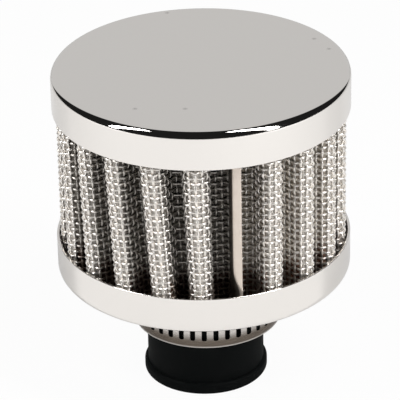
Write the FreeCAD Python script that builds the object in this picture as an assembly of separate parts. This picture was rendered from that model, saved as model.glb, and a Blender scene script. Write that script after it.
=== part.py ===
import FreeCAD, Part
import math
import os

# Clamp-on breather filter: a pleated wire-screen element between a chrome cap and a chrome cup,
# with a rubber neck below and a worm-drive clamp hung on the neck.
# Millimetres, +Z up, origin on the axis at the open end of the neck. Plan angles are counted from
# the front (-Y) towards +X.

Vector = FreeCAD.Vector
UP = Vector(0, 0, 1)

# Chrome cap and cup, pressed from sheet
SHELL_DIAMETER = 76.2
SHEET = 0.7
EDGE_ROUND = 2.0
CAP_HEIGHT = 10.2
CUP_HEIGHT = 9.95
SCREEN_SHOWN = 35.9

# Rubber neck
BORE_DIAMETER = 25.4
NECK_WALL = 2.6
NECK_LENGTH = 31.05
BEAD_STAND = 0.9
BEAD_HEIGHT = 3.2
BEAD_ROUND = 0.8
FLANGE_THICKNESS = 2.5
FLANGE_INSET = 8.5

# Potting beds in the cap and the cup
POTTING_DEPTH = 3.75
BOND_GAP = 0.05

# Pleated layers
SEAM_ANGLE = 13.4
SEAM_ARC = 10.06
CREST_GAP = 0.45
PLEAT_DEPTH = 6.5
CREST_ROUND = 3.2
VALLEY_ROUND = 1.4
SCREEN = 0.6
MEDIA = 1.2
LAYER_GAP = 0.05
FOLD_ROOM = 1.7

# Weave of the outer screen, open between the upright wires at each crest
WIRE_PITCH = 1.5875
WEAVE_GAP = 1.0
GAPS_PER_CREST = 6
WEAVE_EDGE = 2.0

# Seam of the outer screen and its folded clip
CLIP_SHEET = 0.5
CLIP_DEPTH = 4.2
CLIP_INSET = 0.7
SEAM_BEND = 1.2

# Clamp band
BAND_LEVEL = 14.1
BAND_WIDTH = 12.7
BAND = 0.65
LOOP_SLACK = 3.3
TOUCH_GAP = 0.1
TOUCH_ANGLE = -9.7
LAP_GAP = 0.08
LAP_START_ANGLE = 30.0
TAIL_ANGLE = 40.0
SLOT_PITCH = 3.0
SLOT_WIDTH = 1.35
SLOT_MARGIN = 2.1
SLOT_FREE_ANGLE = 60.0

# Clamp housing and worm screw
HOUSING_LENGTH = 12.0
HOUSING_WALL = 0.8
STRAP_HALF_ANGLE = 14.0
WORM_RADIUS = 3.5
WORM_CORE = 2.7
WORM_CLEARANCE = 0.2
JOURNAL_RADIUS = 1.9
JOURNAL_CLEARANCE = 0.08
HEAD_ACROSS_FLATS = 8.0
HEAD_LENGTH = 5.0
HEAD_SLOT_WIDTH = 1.2
HEAD_SLOT_DEPTH = 1.8
TIP_LENGTH = 1.2
TIP_STAND = 0.5

# Places that follow from the sizes above
SHELL_RADIUS = SHELL_DIAMETER / 2
SHELL_INSIDE = SHELL_RADIUS - SHEET
BORE_RADIUS = BORE_DIAMETER / 2
NECK_RADIUS = BORE_RADIUS + NECK_WALL
CUP_FLOOR = NECK_LENGTH + SHEET
CUP_RIM = NECK_LENGTH + CUP_HEIGHT
CAP_EDGE = CUP_RIM + SCREEN_SHOWN
CAP_TOP = CAP_EDGE + CAP_HEIGHT
PLEAT_BOTTOM = CUP_FLOOR + POTTING_DEPTH
PLEAT_TOP = CAP_TOP - SHEET - POTTING_DEPTH

CREST_RADIUS = SHELL_INSIDE - CREST_GAP
ROOT_RADIUS = CREST_RADIUS - PLEAT_DEPTH
MEDIA_OFFSET = -(SCREEN + LAYER_GAP)
INNER_OFFSET = MEDIA_OFFSET - MEDIA - LAYER_GAP
PACK_INSIDE = ROOT_RADIUS + INNER_OFFSET - SCREEN
FLANGE_RADIUS = PACK_INSIDE - FLANGE_INSET
CREST_CENTRE = CREST_RADIUS - CREST_ROUND
VALLEY_CENTRE = ROOT_RADIUS + VALLEY_ROUND

# As many pleats as leave room between their folds on the clean side; the seam stands in for one crest.
FOLD_BACK = VALLEY_ROUND - INNER_OFFSET + SCREEN
LEAST_PITCH = math.degrees(2 * math.asin((FOLD_BACK + FOLD_ROOM / 2) / VALLEY_CENTRE))
SEAM_SPACING = math.degrees(SEAM_ARC / CREST_RADIUS)
PLEAT_COUNT = int((360 - 2 * SEAM_SPACING) / LEAST_PITCH) + 1
PLEAT_PITCH = (360 - 2 * SEAM_SPACING) / (PLEAT_COUNT - 1)
CREST_ANGLES = [SEAM_ANGLE + SEAM_SPACING + i * PLEAT_PITCH for i in range(PLEAT_COUNT)]

# The band starts under the housing, goes once round and laps over its own start on a wider arc.
BAND_START = 90 - STRAP_HALF_ANGLE
LAP_START = 270 + LAP_START_ANGLE
BAND_END = 450 + STRAP_HALF_ANGLE + TAIL_ANGLE
LAP_SHIFT = (BAND + LAP_GAP) / (1 - math.cos(math.radians(360 + BAND_START - LAP_START)))
LOOP_INSIDE = NECK_RADIUS + LOOP_SLACK
LOOP_LINE = LOOP_INSIDE + BAND / 2
LOOP_SHIFT = LOOP_SLACK - TOUCH_GAP
LOOP_CENTRE = Vector(0, LOOP_SHIFT, 0)
LAP_OUTSIDE = LOOP_INSIDE + BAND + 2 * LAP_SHIFT
BAND_MIDDLE = BAND_LEVEL + BAND_WIDTH / 2
STRAP_OUTSIDE = LAP_OUTSIDE + LAP_GAP + HOUSING_WALL
WORM_AXIS = LAP_OUTSIDE + LAP_GAP + WORM_RADIUS
TUNNEL_RADIUS = WORM_RADIUS + WORM_CLEARANCE
ARCH_RADIUS = TUNNEL_RADIUS + HOUSING_WALL


def plan(radius, degrees):
    """Point at a radius and a plan angle counted from the front towards +X."""
    angle = math.radians(degrees - 90)
    return Vector(radius * math.cos(angle), radius * math.sin(angle), 0)


def corner_profile(corners):
    """Closed wire in the XZ plane through (radius, height, rounding) corners."""
    points = [Vector(r, 0, z) for r, z, _ in corners]
    entries, edges = [], []
    for i, (_, _, rounding) in enumerate(corners):
        here, before, after = points[i], points[i - 1], points[(i + 1) % len(points)]
        to_before, to_after = (before - here).normalize(), (after - here).normalize()
        half = to_before.getAngle(to_after) / 2
        reach = rounding / math.tan(half) if rounding else 0
        bisector = to_before + to_after
        start, end = here + to_before * reach, here + to_after * reach
        if rounding:
            bisector.normalize()
            middle = here + bisector * (rounding / math.sin(half) - rounding)
            edges.append(Part.Arc(start, middle, end).toShape())
        entries.append((start, end))
    for i, (_, end) in enumerate(entries):
        start = entries[(i + 1) % len(entries)][0]
        if end.distanceToPoint(start) > 1e-6:
            edges.append(Part.makeLine(end, start))
    return Part.Wire(Part.__sortEdges__(edges))


def turned(corners):
    """Solid of revolution about Z from (radius, height, rounding) corners."""
    return Part.Face(corner_profile(corners)).revolve(Vector(0, 0, 0), UP, 360)


def heading(here, there):
    """Direction, in radians, of the line that leaves one round and meets the next."""
    apart = there[0] - here[0]
    return math.atan2(apart.y, apart.x) - math.asin((there[1] - here[1]) / apart.Length)


def side_point(round_, direction, offset):
    """Point of a round where the path runs in a direction."""
    reach = round_[1] + offset
    return round_[0] + Vector(math.sin(direction), -math.cos(direction), 0) * reach


def fold_edges(rounds, offset, closed):
    """Lines and arcs of a sheet folded round (centre, signed radius) rounds, moved outwards by offset."""
    count = len(rounds)
    last = count if closed else count - 1
    leaving = [heading(rounds[i], rounds[(i + 1) % count]) for i in range(last)]
    edges = []
    for i in range(last):
        here, there = rounds[i], rounds[(i + 1) % count]
        ends = [side_point(round_, leaving[i], offset) for round_ in (here, there)]
        edges.append(Part.makeLine(*ends))
        if closed or i + 1 < last:
            onward = leaving[(i + 1) % last]
            turn = (onward - leaving[i]) % (2 * math.pi)
            if there[1] < 0:
                turn -= 2 * math.pi
            bend = [side_point(there, leaving[i] + turn * share, offset) for share in (0, 0.5, 1)]
            edges.append(Part.Arc(*bend).toShape())
    return edges


def valley_rounding(spacing):
    """Rounding of a valley between crests a plan angle apart, limited by the flanks beside it.

    The flanks stay straight over at least the screen's thickness.
    """
    lean = math.cos(math.radians(spacing / 2))
    apart = CREST_CENTRE ** 2 + ROOT_RADIUS ** 2 - 2 * CREST_CENTRE * ROOT_RADIUS * lean
    room = apart - CREST_ROUND ** 2 - SCREEN ** 2
    return min(VALLEY_ROUND, room / (2 * (CREST_ROUND + CREST_CENTRE * lean - ROOT_RADIUS)))


def valley(degrees, spacing):
    """Valley at a plan angle, between crests a plan angle apart."""
    rounding = valley_rounding(spacing)
    return plan(ROOT_RADIUS + rounding, degrees), -rounding


def pleat_rounds():
    """Crests and valleys in order from the valley after the seam to the valley before it."""
    rounds = [valley(SEAM_ANGLE + SEAM_SPACING / 2, SEAM_SPACING)]
    for i, crest in enumerate(CREST_ANGLES):
        after = PLEAT_PITCH if i + 1 < PLEAT_COUNT else SEAM_SPACING
        rounds.append((plan(CREST_CENTRE, crest), CREST_ROUND))
        rounds.append(valley(crest + after / 2, after))
    return rounds


def seam_rounds(side):
    """Bend and tip of one end of the outer screen, on one side of the seam."""
    outward = plan(1, SEAM_ANGLE)
    across = plan(1, SEAM_ANGLE + 90) * side
    fin = SCREEN + LAYER_GAP / 2
    rounding = valley_rounding(SEAM_SPACING)
    floor = (ROOT_RADIUS + rounding) * math.cos(math.radians(SEAM_SPACING / 2)) - rounding
    tip_radius = CREST_RADIUS - CLIP_INSET - CLIP_SHEET - LAYER_GAP
    bend = (outward * (floor + SEAM_BEND) + across * (fin + SEAM_BEND), -SEAM_BEND)
    tip = (outward * tip_radius + across * fin, 0)
    return bend, tip


def weave_gaps():
    """Tall narrow gaps between the upright wires of the screen, round each crest."""
    step = math.degrees(WIRE_PITCH / (CREST_ROUND - SCREEN / 2))
    depth = SCREEN + 2 * LAYER_GAP
    height = PLEAT_TOP - PLEAT_BOTTOM - 2 * WEAVE_EDGE
    gaps = []
    for crest in CREST_ANGLES:
        for i in range(GAPS_PER_CREST):
            gap = Part.makeBox(WEAVE_GAP, depth, height, Vector(-WEAVE_GAP / 2, -CREST_ROUND - LAYER_GAP, 0))
            gap.rotate(Vector(0, 0, 0), UP, crest + step * (i - (GAPS_PER_CREST - 1) / 2))
            gap.translate(plan(CREST_CENTRE, crest) + UP * (PLEAT_BOTTOM + WEAVE_EDGE))
            gaps.append(gap)
    return gaps


def make_outer_screen():
    """Outer wire screen: one folded sheet whose two ends stand out side by side at the seam."""
    first_bend, first_tip = seam_rounds(1)
    last_bend, last_tip = seam_rounds(-1)
    rounds = [first_tip, first_bend] + pleat_rounds() + [last_bend, last_tip]
    outside = fold_edges(rounds, 0, closed=False)
    inside = fold_edges(rounds, -SCREEN, closed=False)
    ends = []
    for which in (0, -1):
        ends.append(Part.makeLine(outside[which].Vertexes[which].Point, inside[which].Vertexes[which].Point))
    face = Part.Face(Part.Wire(Part.__sortEdges__(outside + inside + ends)))
    face.translate(UP * PLEAT_BOTTOM)
    return face.extrude(UP * (PLEAT_TOP - PLEAT_BOTTOM)).cut(weave_gaps())


def make_folded_ring(offset, thickness):
    """Closed folded layer that lies inside the outer screen and passes flat behind the seam."""
    rounds = pleat_rounds()
    wires = [Part.Wire(fold_edges(rounds, level, closed=True)) for level in (offset, offset - thickness)]
    face = Part.makeFace(wires, "Part::FaceMakerBullseye")
    face.translate(UP * PLEAT_BOTTOM)
    return face.extrude(UP * (PLEAT_TOP - PLEAT_BOTTOM))


def make_seam_clip():
    """Folded strip over the two ends of the outer screen."""
    half_gap = SCREEN + LAYER_GAP * 1.5
    half_width = half_gap + CLIP_SHEET
    outer = CREST_RADIUS - CLIP_INSET
    inner = outer - CLIP_DEPTH + LAYER_GAP
    height = PLEAT_TOP - PLEAT_BOTTOM
    block = Part.makeBox(2 * half_width, CLIP_DEPTH - LAYER_GAP, height, Vector(-half_width, -outer, 0))
    corners = [e for e in block.Edges if abs(e.CenterOfMass.y + outer) < 1e-6 and e.Length > height * 0.99]
    block = block.makeFillet(CLIP_SHEET, corners)
    fold = outer - CLIP_SHEET
    groove = Part.makeBox(2 * half_gap, fold - inner, height, Vector(-half_gap, -fold, 0))
    clip = block.cut(groove)
    clip.translate(UP * PLEAT_BOTTOM)
    clip.rotate(Vector(0, 0, 0), UP, SEAM_ANGLE)
    return clip


def make_top_cap():
    """Pressed lid, open downwards."""
    bend = EDGE_ROUND - SHEET
    return turned([
        (0, CAP_TOP, 0), (SHELL_RADIUS, CAP_TOP, EDGE_ROUND), (SHELL_RADIUS, CAP_EDGE, 0),
        (SHELL_INSIDE, CAP_EDGE, 0), (SHELL_INSIDE, CAP_TOP - SHEET - bend, 0),
        (SHELL_INSIDE - bend, CAP_TOP - SHEET, 0), (0, CAP_TOP - SHEET, 0)])


def make_bottom_cup():
    """Pressed cup, open upwards, with the hole that the neck passes through."""
    bend = EDGE_ROUND - SHEET
    hole = NECK_RADIUS + BOND_GAP
    return turned([
        (hole, NECK_LENGTH, 0), (SHELL_RADIUS, NECK_LENGTH, EDGE_ROUND), (SHELL_RADIUS, CUP_RIM, 0),
        (SHELL_INSIDE, CUP_RIM, 0), (SHELL_INSIDE, CUP_FLOOR + bend, 0), (SHELL_INSIDE - bend, CUP_FLOOR, 0),
        (hole, CUP_FLOOR, 0)])


def make_lower_potting():
    """Ring of potting on the cup's floor, round the neck's flange."""
    bend = EDGE_ROUND - SHEET
    inner, outer = FLANGE_RADIUS + BOND_GAP, SHELL_INSIDE - BOND_GAP
    return turned([
        (inner, CUP_FLOOR, 0), (outer - bend, CUP_FLOOR, 0), (outer, CUP_FLOOR + bend, 0),
        (outer, PLEAT_BOTTOM, 0), (inner, PLEAT_BOTTOM, 0)])


def make_upper_potting():
    """Disc of potting under the cap's top."""
    bend = EDGE_ROUND - SHEET
    outer, top = SHELL_INSIDE - BOND_GAP, CAP_TOP - SHEET
    return turned([
        (0, PLEAT_TOP, 0), (outer, PLEAT_TOP, 0), (outer, top - bend, 0),
        (outer - bend, top, 0), (0, top, 0)])


def make_rubber_neck():
    """Moulded tube with a bead at its open end and a flange that lies on the cup's floor."""
    bead = NECK_RADIUS + BEAD_STAND
    top = CUP_FLOOR + FLANGE_THICKNESS
    return turned([
        (BORE_RADIUS, 0, 0), (bead, 0, BEAD_ROUND), (bead, BEAD_HEIGHT, BEAD_ROUND),
        (NECK_RADIUS, BEAD_HEIGHT, 0), (NECK_RADIUS, CUP_FLOOR, 0), (FLANGE_RADIUS, CUP_FLOOR, 0),
        (FLANGE_RADIUS, top, 0), (BORE_RADIUS, top, 0)])


def seat_clamp(shape):
    """Turn a clamp piece, made with its housing towards +Y, to where the loop touches the neck."""
    shape.rotate(Vector(0, 0, 0), UP, TOUCH_ANGLE)
    return shape


def loop_point(radius, degrees):
    """Point about the loop's centre, with the angle counted from +X."""
    angle = math.radians(degrees)
    return LOOP_CENTRE + Vector(radius * math.cos(angle), radius * math.sin(angle), 0)


LAP_CENTRE = LOOP_CENTRE - (loop_point(LAP_SHIFT, LAP_START) - LOOP_CENTRE)


def lap_point(radius, degrees):
    """Point about the centre of the wider lapping arc."""
    return loop_point(radius, degrees) - LOOP_CENTRE + LAP_CENTRE


def band_line_point(degrees, offset):
    """Point of the band's middle line, moved outwards by offset."""
    if degrees <= LAP_START:
        return loop_point(LOOP_LINE + offset, degrees)
    return lap_point(LOOP_LINE + LAP_SHIFT + offset, degrees)


def make_clamp_band():
    """Slotted strip bent to a loose loop with a lapped tail."""
    spans = [(BAND_START, LAP_START), (LAP_START, BAND_END)]
    edges = []
    for offset in (-BAND / 2, BAND / 2):
        first, second = spans
        loop = [loop_point(LOOP_LINE + offset, a) for a in (first[0], sum(first) / 2, first[1])]
        lap = [lap_point(LOOP_LINE + LAP_SHIFT + offset, a) for a in (second[0], sum(second) / 2, second[1])]
        edges += [Part.Arc(*loop).toShape(), Part.Arc(*lap).toShape()]
    for degrees in (BAND_START, BAND_END):
        edges.append(Part.makeLine(band_line_point(degrees, -BAND / 2), band_line_point(degrees, BAND / 2)))
    face = Part.Face(Part.Wire(Part.__sortEdges__(edges)))
    face.translate(UP * BAND_LEVEL)
    band = face.extrude(UP * BAND_WIDTH)

    step = math.degrees(SLOT_PITCH / LOOP_LINE)
    depth = BAND + LAP_GAP
    height = BAND_WIDTH - 2 * SLOT_MARGIN
    slots = []
    for i in range(1, int((BAND_END - 90 - SLOT_FREE_ANGLE) / step)):
        degrees = BAND_END - i * step
        slot = Part.makeBox(depth, SLOT_WIDTH, height, Vector(-depth / 2, -SLOT_WIDTH / 2, 0))
        slot.rotate(Vector(0, 0, 0), UP, degrees)
        slot.translate(band_line_point(degrees, 0) + UP * (BAND_LEVEL + SLOT_MARGIN))
        slots.append(slot)
    return seat_clamp(band.cut(slots))


def ring_sector(inside, outside, width):
    """Curved block about the loop's axis, centred on the housing and on the band's width."""
    low, high = BAND_MIDDLE - width / 2, BAND_MIDDLE + width / 2
    section = [Vector(r, 0, z) for r, z in ((inside, low), (outside, low), (outside, high), (inside, high))]
    face = Part.Face(Part.makePolygon(section + section[:1]))
    sector = face.revolve(Vector(0, 0, 0), UP, 2 * STRAP_HALF_ANGLE)
    sector.rotate(Vector(0, 0, 0), UP, 90 - STRAP_HALF_ANGLE)
    sector.translate(LOOP_CENTRE)
    return sector


def along_worm(shape):
    """Put a piece made along X at the origin onto the worm's axis."""
    shape.translate(LOOP_CENTRE + Vector(0, WORM_AXIS, BAND_MIDDLE))
    return shape


def arch(radius, length, foot):
    """Half-round tunnel shape along X, its legs reaching a distance below the axis."""
    start = Vector(-length / 2, 0, 0)
    wire = Part.Wire([
        Part.Arc(start + UP * -radius, start + Vector(0, radius, 0), start + UP * radius).toShape(),
        Part.makeLine(start + UP * radius, start + Vector(0, -foot, radius)),
        Part.makeLine(start + Vector(0, -foot, radius), start + Vector(0, -foot, -radius)),
        Part.makeLine(start + Vector(0, -foot, -radius), start + UP * -radius)])
    return along_worm(Part.Face(wire).extrude(Vector(length, 0, 0)))


def make_clamp_housing():
    """Strap round the band, with a half-round tunnel for the worm and an end wall at each side."""
    clear = LAP_GAP
    wrap = 2 * (clear + HOUSING_WALL)
    strap = ring_sector(LOOP_INSIDE - clear - HOUSING_WALL, STRAP_OUTSIDE, BAND_WIDTH + wrap)
    opening = ring_sector(LOOP_INSIDE - clear, LAP_OUTSIDE + clear, BAND_WIDTH + 2 * clear)
    shell = arch(ARCH_RADIUS, HOUSING_LENGTH, WORM_RADIUS)
    foot = LOOP_CENTRE + UP * (BAND_LEVEL - wrap / 2)
    below_band = Part.makeCylinder(LAP_OUTSIDE + clear, BAND_WIDTH + wrap, foot)
    tunnel = arch(TUNNEL_RADIUS, HOUSING_LENGTH - 2 * HOUSING_WALL, WORM_RADIUS + HOUSING_WALL)
    hole = JOURNAL_RADIUS + JOURNAL_CLEARANCE
    end = Vector(-HOUSING_LENGTH / 2, 0, 0)
    journal = along_worm(Part.makeCylinder(hole, HOUSING_LENGTH, end, Vector(1, 0, 0)))
    housing = strap.cut(opening).fuse(shell.cut(below_band)).cut([tunnel, journal])
    return seat_clamp(housing.removeSplitter())


def make_clamp_screw():
    """Worm core on two journals, with a slotted hexagon head at one end and a peened tip at the other."""
    inner_half = HOUSING_LENGTH / 2 - HOUSING_WALL - WORM_CLEARANCE
    outer_half = HOUSING_LENGTH / 2 + WORM_CLEARANCE
    tip = JOURNAL_RADIUS + TIP_STAND
    turns = [
        (0, -outer_half - TIP_LENGTH), (tip, -outer_half - TIP_LENGTH), (tip, -outer_half),
        (JOURNAL_RADIUS, -outer_half), (JOURNAL_RADIUS, -inner_half), (WORM_CORE, -inner_half),
        (WORM_CORE, inner_half), (JOURNAL_RADIUS, inner_half), (JOURNAL_RADIUS, outer_half), (0, outer_half)]
    outline = [Vector(x, r, 0) for r, x in turns]
    shank = Part.Face(Part.makePolygon(outline + outline[:1])).revolve(Vector(0, 0, 0), Vector(1, 0, 0), 360)
    corner = HEAD_ACROSS_FLATS / math.sqrt(3)
    turns_of_six = [math.radians(60 * i) for i in range(7)]
    corners = [Vector(outer_half, corner * math.cos(a), corner * math.sin(a)) for a in turns_of_six]
    head = Part.Face(Part.makePolygon(corners)).extrude(Vector(HEAD_LENGTH, 0, 0))
    slot = Part.makeBox(
        HEAD_SLOT_DEPTH, HEAD_SLOT_WIDTH, 2 * corner,
        Vector(outer_half + HEAD_LENGTH - HEAD_SLOT_DEPTH, -HEAD_SLOT_WIDTH / 2, -corner))
    return seat_clamp(along_worm(shank.fuse(head).cut(slot).removeSplitter()))


def main():
    """Build every piece and write one file for each."""
    pieces = {
        "top_cap": make_top_cap(),
        "bottom_cup": make_bottom_cup(),
        "upper_potting": make_upper_potting(),
        "lower_potting": make_lower_potting(),
        "outer_screen": make_outer_screen(),
        "pleated_media": make_folded_ring(MEDIA_OFFSET, MEDIA),
        "inner_screen": make_folded_ring(INNER_OFFSET, SCREEN),
        "seam_clip": make_seam_clip(),
        "rubber_neck": make_rubber_neck(),
        "clamp_band": make_clamp_band(),
        "clamp_housing": make_clamp_housing(),
        "clamp_screw": make_clamp_screw(),
    }
    os.makedirs("parts", exist_ok=True)
    for name, shape in pieces.items():
        shape.exportStep(f"parts/{name}.step")


main()
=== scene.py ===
"""Looks of a clamp-on breather filter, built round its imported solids.

Everything is in metres, in the frame of the solids: +Z up, the origin on the axis at the open end
of the neck, the front towards -Y. Plan angles are in degrees from the front towards +X.
"""

import logging
import math
from abc import ABC, abstractmethod
from dataclasses import dataclass
from enum import Enum
from functools import reduce
from typing import Any, Optional, Sequence, Union

import bmesh
import bpy
import numpy as np
from mathutils import Matrix, Vector


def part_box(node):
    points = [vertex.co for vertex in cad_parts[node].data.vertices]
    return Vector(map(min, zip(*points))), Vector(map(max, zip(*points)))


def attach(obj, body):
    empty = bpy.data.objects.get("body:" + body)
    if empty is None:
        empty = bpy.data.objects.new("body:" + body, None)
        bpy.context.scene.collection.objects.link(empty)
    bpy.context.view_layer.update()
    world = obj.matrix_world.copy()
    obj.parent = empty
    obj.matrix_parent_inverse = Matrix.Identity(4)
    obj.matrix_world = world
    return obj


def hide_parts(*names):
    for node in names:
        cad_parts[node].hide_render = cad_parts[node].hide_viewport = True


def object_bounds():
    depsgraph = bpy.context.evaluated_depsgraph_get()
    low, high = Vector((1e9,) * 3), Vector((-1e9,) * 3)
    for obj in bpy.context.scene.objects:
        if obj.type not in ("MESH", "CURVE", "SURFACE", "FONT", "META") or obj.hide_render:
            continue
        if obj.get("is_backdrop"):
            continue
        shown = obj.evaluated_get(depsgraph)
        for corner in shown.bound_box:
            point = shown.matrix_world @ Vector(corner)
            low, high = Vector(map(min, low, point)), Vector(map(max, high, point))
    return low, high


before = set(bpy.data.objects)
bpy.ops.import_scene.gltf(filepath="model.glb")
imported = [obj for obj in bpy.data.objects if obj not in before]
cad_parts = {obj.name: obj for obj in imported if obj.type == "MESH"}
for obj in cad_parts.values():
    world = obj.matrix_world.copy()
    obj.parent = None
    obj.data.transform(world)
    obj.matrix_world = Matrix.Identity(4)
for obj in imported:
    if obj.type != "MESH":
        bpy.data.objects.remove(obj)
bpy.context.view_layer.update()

LOG = logging.getLogger("breather_filter")
CLOTH_MAP = "cloth"
UP = Vector((0, 0, 1))
WHITE = (1.0, 1.0, 1.0)
# Points closer than this, in metres, are one point.
MERGE = 1e-7
# Points of a folded sheet are welded within this share of its thickness.
WELD_SHARE = 0.01
# A face looks along an axis when its normal has at least this much of it.
FACING = 0.9

Color = tuple[float, float, float]
Point = tuple[float, float, float]
Pair = tuple[float, float]
Value = Union["Term", float, Sequence[float]]
Sockets = dict[str, Value]


class Body(Enum):
    """The bodies that pieces ride on."""

    FILTER = "filter"
    WORM = "worm_screw"


class Slot(Enum):
    """The record's material slots."""

    CHROME = "chrome"
    WIRE = "screen_wire"
    GAUZE = "gauze"
    SEAM = "seam_metal"
    RUBBER = "neck_rubber"
    CLAMP = "clamp_steel"
    SCREW = "screw_steel"


class Run(Enum):
    """Which way a set of wires runs in the cloth."""

    WARP = "warp"
    WEFT = "weft"


class Term:
    """A shader socket that can stand in a Python expression."""

    def __init__(self, shader: "Shader", socket: bpy.types.NodeSocket) -> None:
        """Keep the socket and the shader that it belongs to."""
        self.shader = shader
        self.socket = socket

    def math(self, operation: str, *terms: Value) -> "Term":
        """Add a Math node.

        Args:
            operation: The node's operation.
            terms: Its inputs in order.

        Returns:
            The node's result.
        """
        return self.shader.node("ShaderNodeMath", {"operation": operation}, dict(enumerate(terms)))

    def __add__(self, other: Value) -> "Term":
        """Sum."""
        return self.math("ADD", self, other)

    __radd__ = __add__

    def __sub__(self, other: Value) -> "Term":
        """Difference."""
        return self.math("SUBTRACT", self, other)

    def __rsub__(self, other: Value) -> "Term":
        """Difference with the number first."""
        return self.math("SUBTRACT", other, self)

    def __mul__(self, other: Value) -> "Term":
        """Product."""
        return self.math("MULTIPLY", self, other)

    __rmul__ = __mul__

    def __pow__(self, other: Value) -> "Term":
        """Power."""
        return self.math("POWER", self, other)

    def over(self, other: Value) -> "Term":
        """The larger of two values."""
        return self.math("MAXIMUM", self, other)


class Shader:
    """One node tree, with a single method that makes any node in it."""

    def __init__(self, tree: bpy.types.NodeTree) -> None:
        """Start from an empty tree."""
        self.tree = tree
        tree.nodes.clear()

    def node(
        self,
        kind: str,
        settings: Optional[dict[str, Any]] = None,
        inputs: Optional[dict[Union[str, int], Value]] = None,
        output: Union[str, int] = 0,
    ) -> Term:
        """Add a node.

        Args:
            kind: The node's type.
            settings: Its properties, set first.
            inputs: Values or terms by socket name or number.
            output: The socket to hand back.

        Returns:
            The chosen output as a term, or the first input of a node that has no output.
        """
        made = self.tree.nodes.new(kind)
        for name, value in (settings or {}).items():
            setattr(made, name, value)
        for name, value in (inputs or {}).items():
            if isinstance(value, Term):
                self.tree.links.new(value.socket, made.inputs[name])
            else:
                made.inputs[name].default_value = value
        return Term(self, made.outputs[output]) if len(made.outputs) else Term(self, made.inputs[0])

    def place(self, stretch: Sequence[float] = (1, 1, 1)) -> Term:
        """The point on the piece, in metres.

        Args:
            stretch: Factors for the three axes.

        Returns:
            The point as a vector term.
        """
        point = self.node("ShaderNodeTexCoord", output="Object")
        if tuple(stretch) == (1, 1, 1):
            return point
        return self.node("ShaderNodeMapping", None, {"Vector": point, "Scale": stretch})

    def axes(self, point: Term) -> list[Term]:
        """The three parts of a vector."""
        first = self.node("ShaderNodeSeparateXYZ", None, {0: point})
        return [Term(self, socket) for socket in first.socket.node.outputs]

    def noise(self, point: Term, scale: float, detail: float = 2.0) -> Term:
        """Cloudy values from 0 to 1.

        Args:
            point: Where the pattern is read.
            scale: Features to a metre.
            detail: Octaves of finer cloud.

        Returns:
            The noise factor.
        """
        return self.node("ShaderNodeTexNoise", None, {"Vector": point, "Scale": scale, "Detail": detail})

    def ramp(self, value: Value, low: float, high: float) -> Term:
        """A smooth step from 0 at low to 1 at high, either way round."""
        inputs = {"Value": value, "From Min": low, "From Max": high}
        return self.node("ShaderNodeMapRange", {"interpolation_type": "SMOOTHSTEP"}, inputs)

    def mix(self, factor: Value, first: Value, second: Value) -> Term:
        """Blend two colours.

        Args:
            factor: 0 for the first, 1 for the second.
            first: Colour or term.
            second: Colour or term.

        Returns:
            The blended colour.
        """
        parts = {0: factor, 6: solid(first), 7: solid(second)}
        return self.node("ShaderNodeMix", {"data_type": "RGBA"}, parts, output=2)

    def bump(self, height: Term, strength: float, distance: float) -> Term:
        """A normal that follows a height in metres."""
        inputs = {"Height": height, "Strength": strength, "Distance": distance}
        return self.node("ShaderNodeBump", None, inputs)

    def ray(self, kind: str) -> Term:
        """1 for rays of the kind that a Light Path socket names, and 0 for others."""
        return self.node("ShaderNodeLightPath", output=kind)


def solid(color: Value) -> Value:
    """Give a plain colour its fourth number and leave a term as it is."""
    return color if isinstance(color, Term) else (*color, 1.0)


def new_material(name: str) -> tuple[bpy.types.Material, Shader]:
    """Make a material with an empty tree.

    Args:
        name: Its name.

    Returns:
        The material, and the shader that fills its tree.
    """
    material = bpy.data.materials.new(name)
    material.use_nodes = True
    return material, Shader(material.node_tree)


class Finish(ABC):
    """A finish, which makes one material.

    In the finishes, cloud is the scale and detail of the main noise, rough the least roughness and
    what the noise adds to it, relief the strength and depth of the bump, and folds the radii where
    painted shade begins and where it is full.
    """

    name: str
    rough: Pair

    @abstractmethod
    def sockets(self, shader: Shader) -> Sockets:
        """Work out what goes into the Principled shader.

        Args:
            shader: The material's tree.

        Returns:
            Values or terms by socket name.
        """

    def hazed(self, cloud: Term) -> Term:
        """Roughness under a cloud."""
        return self.rough[0] + cloud * self.rough[1]

    def build(self) -> bpy.types.Material:
        """Make the material.

        Returns:
            The material, closed with one Principled shader.
        """
        material, shader = new_material(self.name)
        surface = shader.node("ShaderNodeBsdfPrincipled", None, self.sockets(shader))
        shader.node("ShaderNodeOutputMaterial", None, {"Surface": surface})
        return material


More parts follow.
